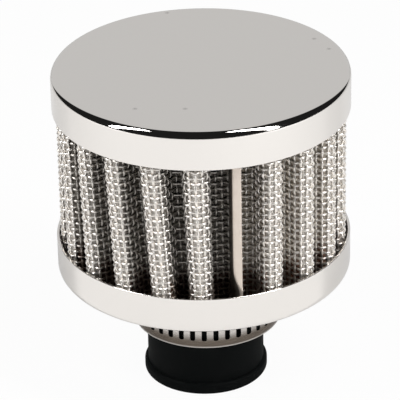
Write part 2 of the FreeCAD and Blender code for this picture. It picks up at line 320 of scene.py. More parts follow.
@dataclass(frozen=True)
class ChromeFinish(Finish):
    """Bright plating with faint wiping haze and a few specks of dirt on the cap."""

    name: str = "chrome_plate"
    tint: Color = (0.905, 0.875, 0.84)
    cloud: Pair = (90.0, 4.0)
    rough: Pair = (0.03, 0.05)
    speck: Color = (0.6, 0.58, 0.56)
    speck_rough: float = 0.3
    speck_radius: float = 0.0009
    specks: tuple[Point, ...] = (
        (-0.0085, 0.0340, 0.0871), (0.0294, 0.0157, 0.0871), (0.0329, 0.0093, 0.0871),
        (-0.0163, -0.0237, 0.0871), (-0.0040, -0.0243, 0.0871))

    def sockets(self, shader: Shader) -> Sockets:
        """Haze the plating and dull it in the specks.

        Args:
            shader: The material's tree.

        Returns:
            Values or terms by socket name.
        """
        point = shader.place()
        cloud = shader.noise(point, *self.cloud)
        # The specks are real dirt; no shade is painted on the chrome.
        dirt_and_shade = self.dirt_and_shade(shader, point)
        return {
            "Base Color": shader.mix(dirt_and_shade, self.tint, self.speck),
            "Metallic": 1.0,
            "Roughness": self.hazed(cloud ** 3) + dirt_and_shade * self.speck_rough}

    def dirt_and_shade(self, shader: Shader, point: Term) -> Term:
        """Mask of the specks.

        Args:
            shader: The material's tree.
            point: The point on the piece.

        Returns:
            1 in a speck and 0 elsewhere.
        """
        spots = []
        for speck in self.specks:
            apart = shader.node(
                "ShaderNodeVectorMath", {"operation": "DISTANCE"}, {0: point, 1: speck}, output="Value")
            spots.append(shader.ramp(apart, self.speck_radius, 0.0))
        return reduce(Term.over, spots)


def fold_depth(shader: Shader, crest: float, deep: float) -> Term:
    """How deep a point lies in the folds.

    Args:
        shader: The material's tree.
        crest: Radius down to which the crests are clean.
        deep: Radius below which a point counts as deep.

    Returns:
        0 on the crests and 1 in the folds.
    """
    flat = shader.place((1, 1, 0))
    radius = shader.node("ShaderNodeVectorMath", {"operation": "LENGTH"}, {0: flat}, output="Value")
    return shader.ramp(radius, crest, deep)


def lighter_side(shader: Shader, left: float = 0.007, right: float = 0.011) -> Term:
    """Which side of the seam a point lies on: the side whose painted shade is painted lighter, as painted
    light from the right-hand lamp.

    Args:
        shader: The material's tree.
        left: Place across the front where the lighter side begins.
        right: Place where it is full.

    Returns:
        0 on the darker side and 1 on the side painted lighter.
    """
    # Painted light: marks the right-hand side, where the painted shade in the folds is lighter.
    return shader.ramp(shader.axes(shader.place())[0], left, right)


@dataclass(frozen=True)
class WireFinish(Finish):
    """Drawn wire, dulled a little, with painted shade in the folds and brown potting wicked up its lower
    end.
    """

    name: str = "screen_wire"
    tint: Color = (0.96, 0.92, 0.87)
    # Painted shade: the wire's colour deep in the folds, where shade falls between the pleats.
    dirt_and_shade: Color = (0.24, 0.22, 0.195)
    fold_shade_share: float = 0.68
    # Painted light: how much of the painted shade in the folds is taken off on the side of the seam that
    # the right-hand lamp reaches.
    lighter_side_lift: float = 0.5
    folds: Pair = (0.0364, 0.0346)
    stain: Color = (0.14, 0.09, 0.06)
    stain_edge: Pair = (0.047, 0.041)
    stain_waver: float = 0.006
    stain_share: float = 0.7
    stain_rough: float = 0.15
    metal: float = 0.85
    cloud: Pair = (400.0, 2.0)
    rough: Pair = (0.27, 0.12)

    def sockets(self, shader: Shader) -> Sockets:
        """Paint shade on the wire in the folds, less on the side painted lighter, and stain its foot.

        Args:
            shader: The material's tree.

        Returns:
            Values or terms by socket name.
        """
        point = shader.place()
        cloud = shader.noise(point, *self.cloud)
        height = shader.axes(point)[2] + (cloud - 0.5) * self.stain_waver
        deep = fold_depth(shader, *self.folds)
        wicked = shader.ramp(height, *self.stain_edge) * deep
        # Painted shade in the folds, made lighter on one side of the seam as painted light.
        fold_shade = deep * (self.fold_shade_share - lighter_side(shader) * self.lighter_side_lift)
        metal = shader.mix(fold_shade, self.tint, self.dirt_and_shade)
        return {
            "Base Color": shader.mix(wicked * self.stain_share, metal, self.stain),
            "Metallic": self.metal,
            "Roughness": self.hazed(cloud) + wicked * self.stain_rough}


@dataclass(frozen=True)
class GauzeFinish(Finish):
    """Cotton gauze seen between the wires, woven along the folded sheet, with painted shade in the folds.
    """

    name: str = "cotton_gauze"
    light: Color = (0.70, 0.66, 0.615)
    dark: Color = (0.48, 0.455, 0.42)
    threads: Pair = (900.0, 70.0)
    thread_light: Pair = (0.55, 0.45)
    # Painted shade: the gauze's colour deep in the folds, where shade falls between the pleats.
    dirt_and_shade: Color = (0.11, 0.098, 0.08)
    # Painted light: the painted shade in the folds, made lighter on the side of the seam that the
    # right-hand lamp reaches.
    lighter_fold_shade: Color = (0.36, 0.315, 0.255)
    fold_shade_share: float = 0.85
    folds: Pair = (0.0362, 0.0352)
    stain: Color = (0.07, 0.04, 0.028)
    # Real potting stain, painted lighter on that same side as painted light.
    lighter_stain: Color = (0.19, 0.11, 0.075)
    stain_edge: Pair = (0.0475, 0.042)
    stain_waver: float = 0.007
    cloud: Pair = (350.0, 3.0)
    roughness: float = 0.95
    specular: float = 0.1
    relief: Pair = (0.6, 0.0002)

    def sockets(self, shader: Shader) -> Sockets:
        """Paint shade over the threads in the folds, lighter on one side of the seam, and stain their
        foot.

        Args:
            shader: The material's tree.

        Returns:
            Values or terms by socket name.
        """
        point = shader.place()
        cloud = shader.noise(point, *self.cloud)
        weave = self.weave(shader)
        height = shader.axes(point)[2] + (cloud - 0.5) * self.stain_waver
        deep = fold_depth(shader, *self.folds)
        wicked = shader.ramp(height, *self.stain_edge) * deep
        thread = weave * (self.thread_light[0] + cloud * self.thread_light[1])
        cloth = shader.mix(thread, self.dark, self.light)
        # Painted shade in the folds, and the real potting stain at the foot, are both painted lighter on
        # one side of the seam as painted light.
        on_lighter_side = lighter_side(shader)
        cloth = shader.mix(deep * self.fold_shade_share, cloth, shader.mix(on_lighter_side, self.dirt_and_shade, self.lighter_fold_shade))
        return {
            "Base Color": shader.mix(wicked, cloth, shader.mix(on_lighter_side, self.stain, self.lighter_stain)),
            "Roughness": self.roughness,
            "Specular IOR Level": self.specular,
            "Normal": shader.bump(weave, *self.relief)}

    def weave(self, shader: Shader) -> Term:
        """Height of the threads, which cross like a basket.

        Args:
            shader: The material's tree.

        Returns:
            1 on a thread and 0 in a hole.
        """
        cloth = shader.node("ShaderNodeUVMap", {"uv_map": CLOTH_MAP})
        waves = [
            place.math("SINE", place * (count * 2 * math.pi)) * 0.5 + 0.5
            for place, count in zip(shader.axes(cloth), self.threads)]
        return waves[0].over(waves[1])


@dataclass(frozen=True)
class RubberFinish(Finish):
    """Black moulded rubber with a fine bloom."""

    name: str = "neck_rubber"
    tint: Color = (0.002, 0.0029, 0.003)
    bloom: Color = (0.0055, 0.0062, 0.0062)
    cloud: Pair = (120.0, 5.0)
    grain: float = 2600.0
    rough: Pair = (0.5, 0.2)
    specular: float = 0.05
    relief: Pair = (0.25, 0.0001)

    def sockets(self, shader: Shader) -> Sockets:
        """Cloud the rubber with bloom and give it a grain.

        Args:
            shader: The material's tree.

        Returns:
            Values or terms by socket name.
        """
        point = shader.place()
        cloud = shader.noise(point, *self.cloud)
        grain = shader.noise(point, self.grain)
        return {
            "Base Color": shader.mix(cloud ** 2, self.tint, self.bloom),
            "Roughness": self.hazed(cloud),
            "Specular IOR Level": self.specular,
            "Normal": shader.bump(grain, *self.relief)}


@dataclass(frozen=True)
class BandFinish(Finish):
    """Rolled stainless strip, with painted shade towards its lower margin for the dark reflection of the
    shaded floor.
    """

    name: str = "clamp_band"
    tint: Color = (0.66, 0.63, 0.60)
    # Painted shade: the lower margin darkened as a painted reflection of the shaded floor under the
    # filter.
    margin_shade: Color = (0.125, 0.1, 0.078)
    margin_shade_edge: Pair = (0.0188, 0.0158)
    margin_shade_foot: Pair = (0.01425, 0.0147)
    margin_shade_share: float = 0.95
    rolling: Point = (30.0, 30.0, 3000.0)
    cloud: Pair = (1.0, 3.0)
    rough: Pair = (0.2, 0.15)
    relief: Pair = (0.1, 0.00005)

    def sockets(self, shader: Shader) -> Sockets:
        """Draw the rolling lines round the strip and paint shade on its lower margin.

        Args:
            shader: The material's tree.

        Returns:
            Values or terms by socket name.
        """
        lines = shader.noise(shader.place(self.rolling), *self.cloud)
        height = shader.axes(shader.place())[2]
        # Painted shade on the lower margin, fading out just above the lowest edge.
        shaded_margin = shader.ramp(height, *self.margin_shade_edge) * shader.ramp(height, *self.margin_shade_foot)
        return {
            "Base Color": shader.mix(shaded_margin * self.margin_shade_share, self.tint, self.margin_shade),
            "Metallic": 1.0,
            "Roughness": self.hazed(lines),
            "Normal": shader.bump(lines, *self.relief)}


@dataclass(frozen=True)
class PlatedFinish(Finish):
    """Zinc-plated pressed or turned steel, clouded by handling."""

    name: str
    tint: Color
    cloudy: Color
    rough: Pair
    cloud: Pair = (500.0, 4.0)
    scratching: Point = (4000.0, 200.0, 200.0)
    relief: Pair = (0.08, 0.00005)

    def sockets(self, shader: Shader) -> Sockets:
        """Cloud the plating and scratch it.

        Args:
            shader: The material's tree.

        Returns:
            Values or terms by socket name.
        """
        cloud = shader.noise(shader.place(), *self.cloud)
        scratches = shader.noise(shader.place(self.scratching), 1.0)
        return {
            "Base Color": shader.mix(cloud ** 2, self.tint, self.cloudy),
            "Metallic": 1.0,
            "Roughness": self.hazed(cloud),
            "Normal": shader.bump(scratches, *self.relief)}


@dataclass(frozen=True)
class SeamFinish(Finish):
    """Tinned strip with a bright front and painted shade down its sides."""

    name: str = "seam_tin"
    tint: Color = (0.80, 0.71, 0.63)
    cloudy: Color = (0.68, 0.59, 0.51)
    # Painted shade: the colour down the strip's sides, where the valleys shade it.
    side_shade: Color = (0.03, 0.024, 0.018)
    side_shade_share: float = 0.9
    folds: Pair = (0.0360, 0.0353)
    metal: float = 0.6
    cloud: Pair = (500.0, 4.0)
    rough: Pair = (0.38, 0.15)

    def sockets(self, shader: Shader) -> Sockets:
        """Cloud the tin and paint shade on it behind its front.

        Args:
            shader: The material's tree.

        Returns:
            Values or terms by socket name.
        """
        cloud = shader.noise(shader.place(), *self.cloud)
        deep = fold_depth(shader, *self.folds)
        metal = shader.mix(cloud ** 2, self.tint, self.cloudy)
        # Painted shade on the strip behind its front.
        return {
            "Base Color": shader.mix(deep * self.side_shade_share, metal, self.side_shade),
            "Metallic": self.metal,
            "Roughness": self.hazed(cloud)}


@dataclass(frozen=True)
class PottingFinish(Finish):
    """Cast dark brown resin with a skin that is not quite even."""

    name: str = "cast_potting"
    tint: Color = (0.035, 0.022, 0.016)
    pale: Color = (0.075, 0.05, 0.036)
    cloud: Pair = (260.0, 4.0)
    rough: Pair = (0.35, 0.3)
    relief: Pair = (0.4, 0.0004)

    def sockets(self, shader: Shader) -> Sockets:
        """Cloud the resin and leave its skin uneven.

        Args:
            shader: The material's tree.

        Returns:
            Values or terms by socket name.
        """
        cloud = shader.noise(shader.place(), *self.cloud)
        return {
            "Base Color": shader.mix(cloud ** 2, self.tint, self.pale),
            "Roughness": self.hazed(cloud),
            "Normal": shader.bump(cloud, *self.relief)}


def mesh_of(shape: bmesh.types.BMesh, name: str, sharp: float = 180.0) -> bpy.types.Mesh:
    """Turn a finished bmesh into a smooth mesh.

    Args:
        shape: The bmesh, which is freed.
        name: The mesh's name.
        sharp: Edges that bend by more degrees than this stay sharp; 180 leaves none.

    Returns:
        The mesh.
    """
    mesh = bpy.data.meshes.new(name)
    for face in shape.faces:
        face.smooth = True
    shape.to_mesh(mesh)
    shape.free()
    if sharp < 180:
        mesh.set_sharp_from_angle(angle=math.radians(sharp))
    return mesh


def add_object(name: str, data: bpy.types.ID) -> bpy.types.Object:
    """Make an object in the scene.

    Args:
        name: Its name.
        data: Its mesh, light or camera.

    Returns:
        The object.
    """
    made = bpy.data.objects.new(name, data)
    bpy.context.scene.collection.objects.link(made)
    return made


def put(mesh: bpy.types.Mesh, material: bpy.types.Material, body: Body, slot: Slot, *nodes: str) -> None:
    """Make a finished piece of a mesh.

    Args:
        mesh: Its mesh, whose name the piece takes.
        material: Its finish.
        body: The body that it rides on.
        slot: The record's slot of its finish; not used.
        nodes: The solids that it stands for.
    """
    piece = add_object(mesh.name, mesh)
    mesh.materials.append(material)
    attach(piece, body.value)
    if nodes:
        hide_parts(*nodes)
    LOG.info("%s: %d faces on %s", piece.name, len(mesh.polygons), body.value)


def with_modifier(mesh: bpy.types.Mesh, kind: str, **settings: Any) -> bpy.types.Mesh:
    """Work a modifier into a mesh.

    Args:
        mesh: The mesh to start from, which is removed.
        kind: The modifier's type.
        settings: Its properties.

    Returns:
        The finished mesh under the same name.
    """
    name = mesh.name
    holder = add_object("holder", mesh)
    modifier = holder.modifiers.new(kind, kind)
    for setting, value in settings.items():
        setattr(modifier, setting, value)
    done = bpy.data.meshes.new_from_object(holder.evaluated_get(bpy.context.evaluated_depsgraph_get()))
    bpy.data.objects.remove(holder)
    bpy.data.meshes.remove(mesh)
    done.name = name
    return done


def thicken(shape: bmesh.types.BMesh, thickness: float) -> None:
    """Give a flat sheet its thickness.

    Args:
        shape: The sheet, square to the Y axis.
        thickness: How far it grows towards +Y.
    """
    grown = bmesh.ops.extrude_face_region(shape, geom=shape.faces[:])["geom"]
    moved = [part for part in grown if isinstance(part, bmesh.types.BMVert)]
    bmesh.ops.translate(shape, vec=(0, thickness, 0), verts=moved)


def points_of(mesh: bpy.types.Mesh) -> np.ndarray:
    """Read a mesh's points.

    Args:
        mesh: The mesh.

    Returns:
        Rows of three.
    """
    points = np.empty(len(mesh.vertices) * 3)
    mesh.vertices.foreach_get("co", points)
    return points.reshape(-1, 3)


def move_points(mesh: bpy.types.Mesh, points: np.ndarray) -> None:
    """Write rows of three back into the mesh."""
    mesh.vertices.foreach_set("co", points.astype(np.float32).ravel())
    mesh.update()


@dataclass(frozen=True)
class Corner:
    """A corner of a turned outline, with its rounding."""

    radius: float
    height: float
    rounding: float = 0.0


@dataclass(frozen=True)
class Turner:
    """Turns outlines about the axis, with true rounds and flats held flat."""

    turns: int = 192
    round_steps: int = 10
    flat_least: float = 0.001
    flat_hold: float = 0.00006

    def mesh(self, name: str, corners: Sequence[Corner]) -> bpy.types.Mesh:
        """Turn a closed outline.

        Args:
            name: The mesh's name.
            corners: The outline in order.

        Returns:
            The turned mesh.
        """
        shape = bmesh.new()
        points = [shape.verts.new((corner.radius, 0, corner.height)) for corner in corners]
        shape.faces.new(points)
        for point, corner in zip(points, corners):
            if corner.rounding:
                bmesh.ops.bevel(
                    shape, geom=[point], offset=corner.rounding, offset_type="OFFSET", affect="VERTICES",
                    segments=self.round_steps, profile=0.5, material=-1)
        bmesh.ops.delete(shape, geom=shape.faces[:], context="FACES_ONLY")
        on_axis = [edge for edge in shape.edges if all(abs(v.co.x) < MERGE for v in edge.verts)]
        bmesh.ops.delete(shape, geom=on_axis, context="EDGES")
        self.hold_flats(shape)
        bmesh.ops.spin(
            shape, geom=shape.verts[:] + shape.edges[:], cent=(0, 0, 0), axis=UP, angle=2 * math.pi,
            steps=self.turns, use_merge=True)
        bmesh.ops.remove_doubles(shape, verts=shape.verts[:], dist=MERGE)
        bmesh.ops.recalc_face_normals(shape, faces=shape.faces[:])
        return mesh_of(shape, name)

    def hold_flats(self, shape: bmesh.types.BMesh) -> None:
        """Split long edges close to both ends, so that a round's shading stays out of its flats.

        Args:
            shape: The outline before it is turned.
        """
        for edge in [edge for edge in shape.edges if edge.calc_length() > self.flat_least]:
            length = edge.calc_length()
            start, end = edge.verts
            middle = bmesh.utils.edge_split(edge, start, self.flat_hold / length)[1]
            far = next(e for e in middle.link_edges if end in e.verts)
            bmesh.utils.edge_split(far, end, self.flat_hold / (length - self.flat_hold))


@dataclass
class ChromeShells:
    """The pressed cap and cup."""

    material: bpy.types.Material
    sheet: float = 0.0007
    edge_round: float = 0.002
    rim_round: float = 0.00015
    neck_hole: float = 0.01535
    turner: Turner = Turner()

    def build(self) -> None:
        """Make both shells."""
        low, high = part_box("top_cap")
        self.shell("cap_shell", "top_cap", high.x, high.z, low.z, -1, 0.0)
        low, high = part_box("bottom_cup")
        self.shell("cup_shell", "bottom_cup", high.x, low.z, high.z, 1, self.neck_hole)

    def shell(
        self, name: str, node: str, radius: float, base: float, rim: float, way: int, hole: float
    ) -> None:
        """Press one shell.

        Args:
            name: The piece's name.
            node: The solid that it stands for.
            radius: Outer radius.
            base: Level of the closed side's outer face.
            rim: Level of the open edge.
            way: 1 where the shell opens upwards and -1 downwards.
            hole: Radius of the hole in the closed side.
        """
        inside = radius - self.sheet
        floor = base + way * self.sheet
        corners = [
            Corner(hole, base), Corner(radius, base, self.edge_round),
            Corner(radius, rim, self.rim_round), Corner(inside, rim, self.rim_round),
            Corner(inside, floor, self.edge_round - self.sheet), Corner(hole, floor)]
        put(self.turner.mesh(name, corners), self.material, Body.FILTER, Slot.CHROME, node)


@dataclass
class RubberNeck:
    """The moulded neck with its bead and its flange inside the cup."""

    material: bpy.types.Material
    bore: float = 0.0127
    wall: float = 0.0026
    bead_stand: float = 0.0009
    bead_height: float = 0.0032
    bead_round: float = 0.0008
    lip_round: float = 0.0004
    flange_thickness: float = 0.0025
    turner: Turner = Turner()

    def build(self) -> None:
        """Turn the neck."""
        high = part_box("rubber_neck")[1]
        flange, top = high.x, high.z
        outside = self.bore + self.wall
        bead = outside + self.bead_stand
        seat = top - self.flange_thickness
        corners = [
            Corner(self.bore, 0, self.lip_round), Corner(bead, 0, self.bead_round),
            Corner(bead, self.bead_height, self.bead_round), Corner(outside, self.bead_height),
            Corner(outside, seat), Corner(flange, seat), Corner(flange, top, self.lip_round),
            Corner(self.bore, top, self.lip_round)]
        put(self.turner.mesh("neck_tube", corners), self.material, Body.FILTER, Slot.RUBBER, "rubber_neck")


def plan(radius: float, degrees: float) -> np.ndarray:
    """Point at a radius and a plan angle."""
    angle = math.radians(degrees - 90)
    return np.array([radius * math.cos(angle), radius * math.sin(angle)])


def smooth(value: np.ndarray, low: float, high: float) -> np.ndarray:
    """Smooth step from 0 at low to 1 at high, either way round."""
    share = np.clip((value - low) / (high - low), 0, 1)
    return share * share * (3 - 2 * share)


@dataclass(frozen=True)
class FoldRound:
    """A round that the sheet folds over: positive at a crest, negative at a valley."""

    centre: np.ndarray
    radius: float

    def heading(self, there: "FoldRound") -> float:
        """Direction of the straight that leaves this round for the next."""
        apart = there.centre - self.centre
        return math.atan2(apart[1], apart[0]) - math.asin((there.radius - self.radius) / np.hypot(*apart))


class FoldPath:
    """Middle line of a folded sheet: straights and arcs, seen in plan."""

    def __init__(self, rounds: Sequence[FoldRound], offset: float, closed: bool) -> None:
        """Work out the straights and arcs.

        Args:
            rounds: The rounds in order.
            offset: How far the line stands outside the rounds' own line.
            closed: Whether the last round leads back to the first.
        """
        self.offset = offset
        count = len(rounds)
        last = count if closed else count - 1
        leaving = [rounds[i].heading(rounds[(i + 1) % count]) for i in range(last)]
        rows = []
        for i in range(last):
            here, there = rounds[i], rounds[(i + 1) % count]
            out = np.array([math.sin(leaving[i]), -math.cos(leaving[i])])
            start, end = here.centre + out * here.radius, there.centre + out * there.radius
            rows.append((*start, leaving[i], 0.0, 0.0, float(np.hypot(*(end - start)))))
            if closed or i + 1 < last:
                turn = (leaving[(i + 1) % last] - leaving[i]) % (2 * math.pi)
                turn -= 2 * math.pi if there.radius < 0 else 0
                length = turn * (there.radius + offset)
                rows.append((*there.centre, leaving[i], there.radius, turn / length, length))
        self.rows = np.array(rows)
        self.starts = np.concatenate([[0.0], np.cumsum(self.rows[:, 5])])

    @property
    def length(self) -> float:
        """Length of the middle line."""
        return float(self.starts[-1])

    def bend(self, along: np.ndarray, out: np.ndarray) -> tuple[np.ndarray, np.ndarray]:
        """Fold flat places.

        Args:
            along: Distances along the sheet.
            out: Distances out of its middle line.

        Returns:
            The folded x and y.
        """
        which = np.clip(np.searchsorted(self.starts, along, side="right") - 1, 0, len(self.rows) - 1)
        base_x, base_y, heading, radius, rate, _ = self.rows[which].T
        past = along - self.starts[which]
        angle = heading + rate * past
        reach = radius + self.offset + out
        straight = np.where(rate == 0, past, 0)
        x = base_x + np.cos(angle) * straight + np.sin(angle) * reach
        y = base_y + np.sin(angle) * straight - np.cos(angle) * reach
        return x, y


@dataclass(frozen=True)
class Strand:
    """How one set of wires is drawn and crimped in the cloth."""

    width: float
    thickness: float
    crimp: float
    steps: int


@dataclass
class PleatPack:
    """The folded layers between cap and cup: woven wire outside, gauze, and wire inside."""

    wire_material: bpy.types.Material
    gauze_material: bpy.types.Material
    inner_material: bpy.types.Material
    seam_material: bpy.types.Material
    crest_radius: float = 0.03695
    pleat_depth: float = 0.0065
    crest_round: float = 0.0032
    valley_round: float = 0.0014
    pleats: int = 20
    seam_angle: float = 13.4
    seam_arc: float = 0.01006
    screen: float = 0.0006
    media: float = 0.0012
    layer_gap: float = 0.00005
    clip_sheet: float = 0.0005
    clip_depth: float = 0.0042
    clip_inset: float = 0.0007
    seam_bend: float = 0.0012
    pitch: float = 0.0015875
    warp: Strand = Strand(width=0.00072, thickness=0.0005, crimp=0.00025, steps=4)
    weft: Strand = Strand(width=0.0007, thickness=0.0005, crimp=0.00025, steps=4)
    wire_sides: int = 6
    gauze_rise: float = 0.00017
    layer_step: float = 0.0006
    layer_rows: int = 8
    layer_sharp: float = 60.0
    clip_bend: float = 0.0003
    clip_bend_steps: int = 4
    clip_steps: int = 48
    clip_sharp: float = 50.0
    lean: float = 3.9
    lean_start: float = 13.0
    lean_full: float = -25.0
    lean_fade: float = -110.0
    lean_end: float = -170.0
    pinch_rise: float = 0.009
    pinch_sink: float = 0.001
    pinch: float = 0.85

    def __post_init__(self) -> None:
        """Work out the folds and levels."""
        low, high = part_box("outer_screen")
        self.bottom, self.top = low.z, high.z
        self.shown_bottom, self.shown_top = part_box("bottom_cup")[1].z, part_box("top_cap")[0].z
        self.seam_spacing = math.degrees(self.seam_arc / self.crest_radius)
        self.pitch_angle = (360 - 2 * self.seam_spacing) / (self.pleats - 1)
        self.valley_centre = self.crest_radius - self.pleat_depth + self.valley_round
        self.rounds = self.pleat_rounds()
        ends = [self.seam_rounds(side) for side in (1, -1)]
        whole = [ends[0][1], ends[0][0]] + self.rounds + [ends[1][0], ends[1][1]]
        self.screen_path = FoldPath(whole, -self.screen / 2, closed=False)

    def pleat_rounds(self) -> list[FoldRound]:
        """Lay out the crests and valleys.

        Returns:
            The rounds from the valley after the seam to the valley before it.
        """
        valley, crest = self.valley_centre, self.crest_radius - self.crest_round
        degrees = self.seam_angle + self.seam_spacing
        rounds = [FoldRound(plan(valley, degrees - self.seam_spacing / 2), -self.valley_round)]
        for i in range(self.pleats):
            after = self.pitch_angle if i + 1 < self.pleats else self.seam_spacing
            rounds.append(FoldRound(plan(crest, degrees), self.crest_round))
            rounds.append(FoldRound(plan(valley, degrees + after / 2), -self.valley_round))
            degrees += after
        return rounds

    def seam_rounds(self, side: int) -> tuple[FoldRound, FoldRound]:
        """Bend and tip of one end of the outer screen.

        Args:
            side: 1 for the end past the seam and -1 for the end before it.

        Returns:
            The bend and the tip.
        """
        outward = plan(1, self.seam_angle)
        across = plan(1, self.seam_angle + 90) * side
        floor = self.valley_centre * math.cos(math.radians(self.seam_spacing / 2)) - self.valley_round
        bend = outward * (floor + self.seam_bend) + across * (self.fin + self.seam_bend)
        tip = outward * (self.clip_edge - self.clip_sheet - self.layer_gap) + across * self.fin
        return FoldRound(bend, -self.seam_bend), FoldRound(tip, 0.0)

    def build(self) -> None:
        """Make the wires, the gauze, the inner screen and the seam clip."""
        for run in Run:
            for parity in (0, 1):
                mesh = self.wires(run, parity)
                put(mesh, self.wire_material, Body.FILTER, Slot.WIRE, "outer_screen")
        gauze_depth = self.screen + self.layer_gap
        inner_depth = gauze_depth + self.media + self.layer_gap
        gauze = self.layer("gauze_layer", gauze_depth - self.gauze_rise, self.media)
        put(gauze, self.gauze_material, Body.FILTER, Slot.GAUZE, "pleated_media")
        inner = self.layer("inner_layer", inner_depth, self.screen)
        put(inner, self.inner_material, Body.FILTER, Slot.WIRE, "inner_screen")
        put(self.clip(), self.seam_material, Body.FILTER, Slot.SEAM, "seam_clip")

    def settle(self, points: np.ndarray) -> np.ndarray:
        """Give folded points the lean of the left-hand pleats and the pinched foot of the seam.

        Args:
            points: Points of straight pleats.

        Returns:
            The moved points.
        """
        x, y, z = points.T
        azimuth = np.degrees(np.arctan2(x, -y))
        share = smooth(azimuth, self.lean_start, self.lean_full)
        share = share * (1 - smooth(azimuth, self.lean_fade, self.lean_end))
        drop = (self.shown_top + self.shown_bottom - 2 * z) / (2 * (self.shown_top - self.shown_bottom))
        turn = np.radians(self.lean) * share * drop
        x, y = x * np.cos(turn) - y * np.sin(turn), x * np.sin(turn) + y * np.cos(turn)
        outward, across = plan(1, self.seam_angle), plan(1, self.seam_angle + 90)
        out, side = x * outward[0] + y * outward[1], x * across[0] + y * across[1]
        half, inside = self.clip_half, out - self.clip_edge + self.clip_depth
        near = (np.abs(side) < half + self.clip_sheet) & (inside > 0)
        foot = smooth(z - self.shown_bottom, self.pinch_rise, -self.pinch_sink)
        squeeze = self.pinch * foot ** 2 * np.clip(inside / self.clip_depth, 0, 1)
        shift = np.where(near, (half - side) * squeeze, 0)
        return np.stack([x + across[0] * shift, y + across[1] * shift, z], axis=1)

    @property
    def fin(self) -> float:
        """How far one turned-out end of the screen reaches from the middle of the seam."""
        return self.layer_gap / 2 + self.screen

    @property
    def clip_half(self) -> float:
        """Half of the seam clip's width."""
        return self.fin + self.layer_gap + self.clip_sheet

    @property
    def clip_edge(self) -> float:
        """Radius of the seam clip's front."""
        return self.crest_radius - self.clip_inset

    def wires(self, run: Run, parity: int) -> bpy.types.Mesh:
        """Weave every second wire of one direction and fold it with the sheet.

        Args:
            run: The wires' direction.
            parity: 0 or 1, for which of the two interleaved sets.

        Returns:
            The folded mesh.
        """
        warp = run is Run.WARP
        length, height = self.screen_path.length, self.top - self.bottom
        columns, rows = round(length / self.pitch), round(height / self.pitch)
        across, rise = length / columns, height / rows
        column, row = Vector((across, 0, 0)), Vector((0, 0, rise))
        strand, step, aside = (self.warp, row, column) if warp else (self.weft, column, row)
        crossings, total = (rows, columns) if warp else (columns, rows)
        shape = bmesh.new()
        bmesh.ops.create_circle(shape, cap_ends=True, segments=self.wire_sides, radius=0.5)
        bmesh.ops.scale(shape, vec=(strand.width, strand.thickness, 1), verts=shape.verts[:])
        if not warp:
            turn = Matrix.Rotation(math.pi / 2, 3, "Y")
            bmesh.ops.rotate(shape, cent=(0, 0, 0), matrix=turn, verts=shape.verts[:])
        bmesh.ops.spin(
            shape, geom=shape.verts[:] + shape.edges[:] + shape.faces[:], cent=(0, 0, 0), axis=UP,
            dvec=step / strand.steps, angle=0, steps=strand.steps * crossings)
        bmesh.ops.translate(shape, vec=aside * (parity + 0.5), verts=shape.verts[:])
        bmesh.ops.recalc_face_normals(shape, faces=shape.faces[:])
        mesh = with_modifier(
            mesh_of(shape, f"{run.value}_wires_{'ab'[parity]}"), "ARRAY", use_relative_offset=False,
            use_constant_offset=True, constant_offset_displace=aside * 2, count=(total - parity + 1) // 2)
        along, out, up = points_of(mesh).T
        phase = up / rise if warp else along / across
        over = (strand.crimp if warp else -strand.crimp) * (-1) ** parity
        x, y = self.screen_path.bend(along, out + over * np.sin(math.pi * phase))
        move_points(mesh, self.settle(np.stack([x, y, up + self.bottom], axis=1)))
        mesh.flip_normals()
        return mesh

    def layer(self, name: str, depth: float, thickness: float) -> bpy.types.Mesh:
        """Fold one closed layer that lies inside the outer screen.

        Args:
            name: The mesh's name.
            depth: How far its outer face lies inside the outer screen's.
            thickness: Its thickness.

        Returns:
            The folded mesh, with a map of the flat sheet.
        """
        path = FoldPath(self.rounds, -depth - thickness / 2, closed=True)
        columns = round(path.length / self.layer_step)
        shape = bmesh.new()
        shape.loops.layers.uv.new(CLOTH_MAP)
        bmesh.ops.create_grid(
            shape, x_segments=columns, y_segments=self.layer_rows, size=0.5, calc_uvs=True)
        flat = Matrix.Diagonal((path.length, 1, self.top - self.bottom, 1)) @ Matrix(
            ((1, 0, 0, 0.5), (0, 0, 1, -thickness / 2), (0, 1, 0, 0.5), (0, 0, 0, 1)))
        bmesh.ops.transform(shape, matrix=flat, verts=shape.verts[:])
        thicken(shape, thickness)
        ends = [face for face in shape.faces if abs(face.normal.x) > FACING]
        bmesh.ops.delete(shape, geom=ends, context="FACES_ONLY")
        for vert in shape.verts:
            x, y = path.bend(np.array([vert.co.x]), np.array([vert.co.y]))
            vert.co = (x[0], y[0], vert.co.z + self.bottom)
        bmesh.ops.remove_doubles(shape, verts=shape.verts[:], dist=thickness * WELD_SHARE)
        bmesh.ops.recalc_face_normals(shape, faces=shape.faces[:])
        mesh = mesh_of(shape, name, sharp=self.layer_sharp)
        move_points(mesh, self.settle(points_of(mesh)))
        return mesh

